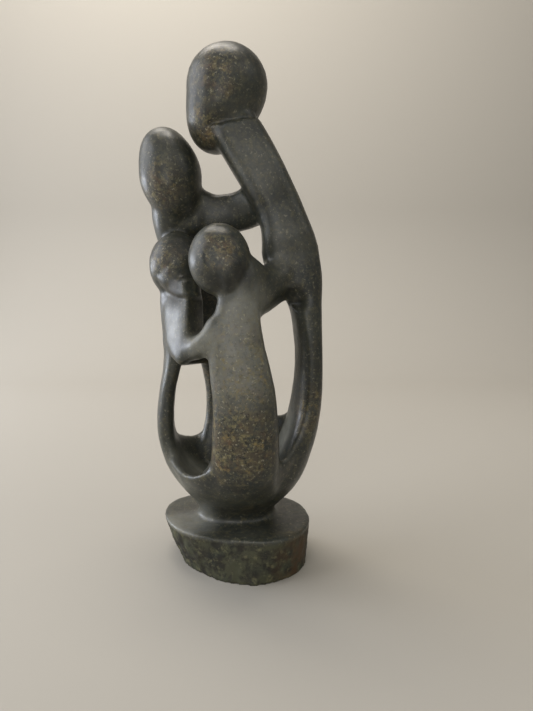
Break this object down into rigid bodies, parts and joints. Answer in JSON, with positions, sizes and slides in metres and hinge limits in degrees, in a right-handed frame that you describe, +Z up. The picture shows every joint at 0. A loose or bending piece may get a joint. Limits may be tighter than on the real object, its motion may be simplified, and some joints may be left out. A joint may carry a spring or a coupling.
{
  "type": "family group sculpture",
  "caption": "Carved stone figure group: parents and children with plain egg-shaped heads rise from a rough-sided base and join arms in an open ring.",
  "frame": {"origin": "on the flat underside of the base, near its middle", "axes": "+Z up along the group's height; -Y towards the viewer, the near child; +X towards the father; +Y towards the mother; -X towards the far child"},
  "size_m": [0.1067, 0.0981, 0.2999],
  "materials": {
    "family_group": "polished, dark grey-green and brown serpentine with ochre specks; rough-cut sides on the base"
  },
  "bodies": {
    "root": {"family_group": "family_group"}
  },
  "joints": []
}
